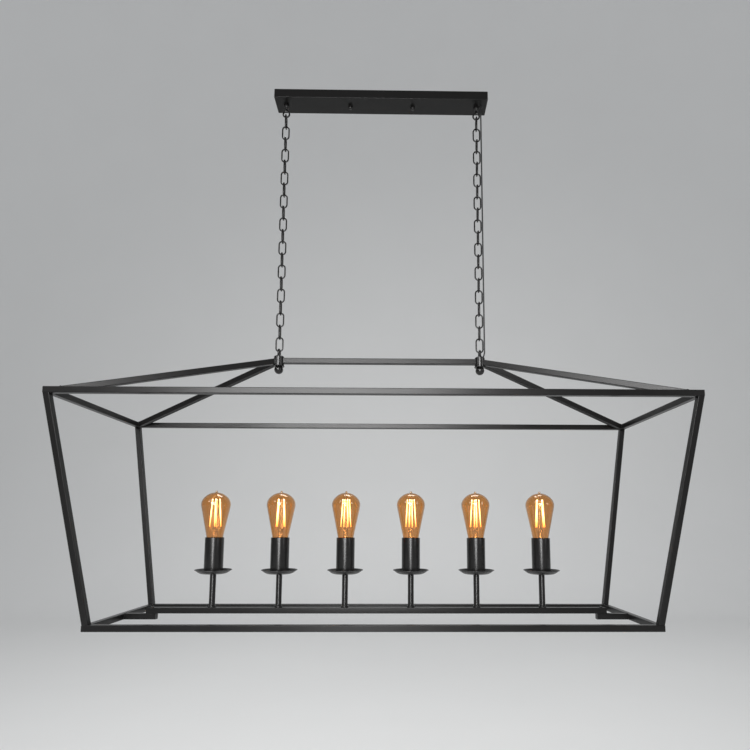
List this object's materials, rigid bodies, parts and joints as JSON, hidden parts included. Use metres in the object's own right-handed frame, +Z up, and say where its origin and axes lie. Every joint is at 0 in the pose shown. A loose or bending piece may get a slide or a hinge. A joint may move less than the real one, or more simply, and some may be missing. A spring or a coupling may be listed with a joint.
{
  "type": "linear island pendant light",
  "caption": "Open lantern cage of black square tube hanging level on two link chains from a slim canopy, with a row of upright amber bulbs on a central lamp bar.",
  "frame": {"origin": "middle of the canopy's ceiling face", "axes": "+X along the canopy and the lantern, +Y from the front to the back, +Z up to the ceiling; the light hangs below z = 0"},
  "size_m": [1.22, 0.356, 1.1861],
  "materials": {
    "black_powder_coat": "satin black powder coat",
    "black_hardware": "satin black enamel",
    "black_lamp_trim": "semi-gloss black enamel",
    "plated_steel": "zinc plate",
    "socket_plastic": "phenolic",
    "bushing_plastic": "nylon",
    "cord_jacket": "smooth jacket",
    "amber_glass": "clear amber",
    "cap_metal": "satin shell"
  },
  "bodies": {
    "canopy": {"canopy_cover": "black_powder_coat", "load_strap": "plated_steel", "mounting_bar": "plated_steel", "canopy_studs": "plated_steel", "cap_nuts": "black_hardware", "canopy_loop_left": "black_hardware", "canopy_loop_right": "black_hardware", "loop_nuts": "plated_steel", "cord_bushing": "bushing_plastic"},
    "upper_link_left": {"top_link_left": "black_hardware"},
    "chain_run_left": {"chain_left": "black_hardware"},
    "lower_link_left": {"bottom_link_left": "black_hardware"},
    "upper_link_right": {"top_link_right": "black_hardware"},
    "chain_run_right": {"chain_right": "black_hardware", "feed_cord": "cord_jacket"},
    "lower_link_right": {"bottom_link_right": "black_hardware"},
    "lantern": {"ball_finial_left": "black_hardware", "ball_finial_right": "black_hardware", "bar_screws": "black_hardware", "bottom_rail_back": "black_powder_coat", "bottom_rail_front": "black_powder_coat", "bottom_rail_left": "black_powder_coat", "bottom_rail_right": "black_powder_coat", "drip_dishes": "black_lamp_trim", "hang_loop_left": "black_hardware", "hang_loop_right": "black_hardware", "hip_back_left": "black_powder_coat", "hip_back_right": "black_powder_coat", "hip_front_left": "black_powder_coat", "hip_front_right": "black_powder_coat", "hub_boss_left": "black_hardware", "hub_boss_right": "black_hardware", "lamp_bar": "black_powder_coat", "post_back_left": "black_powder_coat", "post_back_right": "black_powder_coat", "post_front_left": "black_powder_coat", "post_front_right": "black_powder_coat", "ridge_tube": "black_powder_coat", "sleeves": "black_lamp_trim", "sockets": "socket_plastic", "stems": "black_lamp_trim", "stub_left": "black_powder_coat", "stub_right": "black_powder_coat", "top_rail_back": "black_powder_coat", "top_rail_front": "black_powder_coat", "top_rail_left": "black_powder_coat", "top_rail_right": "black_powder_coat"},
    "bulb_1": {"bulb_glass_1": "amber_glass", "bulb_cap_1": "cap_metal"},
    "bulb_2": {"bulb_glass_2": "amber_glass", "bulb_cap_2": "cap_metal"},
    "bulb_3": {"bulb_glass_3": "amber_glass", "bulb_cap_3": "cap_metal"},
    "bulb_4": {"bulb_glass_4": "amber_glass", "bulb_cap_4": "cap_metal"},
    "bulb_5": {"bulb_glass_5": "amber_glass", "bulb_cap_5": "cap_metal"},
    "bulb_6": {"bulb_glass_6": "amber_glass", "bulb_cap_6": "cap_metal"}
  },
  "joints": [
    {"name": "swing_left", "type": "hinge", "parent": "canopy", "child": "upper_link_left", "pos_m": [-0.221, 0, -0.0504], "axis": [1, 0, 0], "range_deg": [-15, 15]},
    {"name": "sway_left", "type": "hinge", "parent": "upper_link_left", "child": "chain_run_left", "pos_m": [-0.221, 0, -0.0783], "axis": [0, 1, 0], "range_deg": [-10, 10]},
    {"name": "level_left", "type": "hinge", "parent": "chain_run_left", "child": "lower_link_left", "pos_m": [-0.221, 0, -0.5841], "axis": [0, 1, 0], "range_deg": [-10, 10]},
    {"name": "swing_right", "type": "hinge", "parent": "canopy", "child": "upper_link_right", "pos_m": [0.221, 0, -0.0504], "axis": [1, 0, 0], "range_deg": [-15, 15]},
    {"name": "sway_right", "type": "hinge", "parent": "upper_link_right", "child": "chain_run_right", "pos_m": [0.221, 0, -0.0783], "axis": [0, 1, 0], "range_deg": [-10, 10], "deforming": ["feed_cord"]},
    {"name": "level_right", "type": "hinge", "parent": "chain_run_right", "child": "lower_link_right", "pos_m": [0.221, 0, -0.5841], "axis": [0, 1, 0], "range_deg": [-10, 10]},
    {"name": "rock", "type": "hinge", "parent": "lower_link_left", "child": "lantern", "pos_m": [-0.221, 0, -0.6122], "axis": [1, 0, 0], "range_deg": [-10, 10]},
    {"name": "bulb_1_unscrew", "type": "hinge", "parent": "lantern", "child": "bulb_1", "pos_m": [-0.345, 0, -1.0181], "axis": [0, 0, 1], "range_deg": [0, 360]},
    {"name": "bulb_2_unscrew", "type": "hinge", "parent": "lantern", "child": "bulb_2", "pos_m": [-0.207, 0, -1.0181], "axis": [0, 0, 1], "range_deg": [0, 360]},
    {"name": "bulb_3_unscrew", "type": "hinge", "parent": "lantern", "child": "bulb_3", "pos_m": [-0.069, 0, -1.0181], "axis": [0, 0, 1], "range_deg": [0, 360]},
    {"name": "bulb_4_unscrew", "type": "hinge", "parent": "lantern", "child": "bulb_4", "pos_m": [0.069, 0, -1.0181], "axis": [0, 0, 1], "range_deg": [0, 360]},
    {"name": "bulb_5_unscrew", "type": "hinge", "parent": "lantern", "child": "bulb_5", "pos_m": [0.207, 0, -1.0181], "axis": [0, 0, 1], "range_deg": [0, 360]},
    {"name": "bulb_6_unscrew", "type": "hinge", "parent": "lantern", "child": "bulb_6", "pos_m": [0.345, 0, -1.0181], "axis": [0, 0, 1], "range_deg": [0, 360]}
  ],
  "couplings": [
    {"joint": "swing_right", "follows": "swing_left", "ratio": 1},
    {"joint": "sway_right", "follows": "sway_left", "ratio": 1},
    {"joint": "level_left", "follows": "sway_left", "ratio": -1},
    {"joint": "level_right", "follows": "sway_left", "ratio": -1}
  ]
}
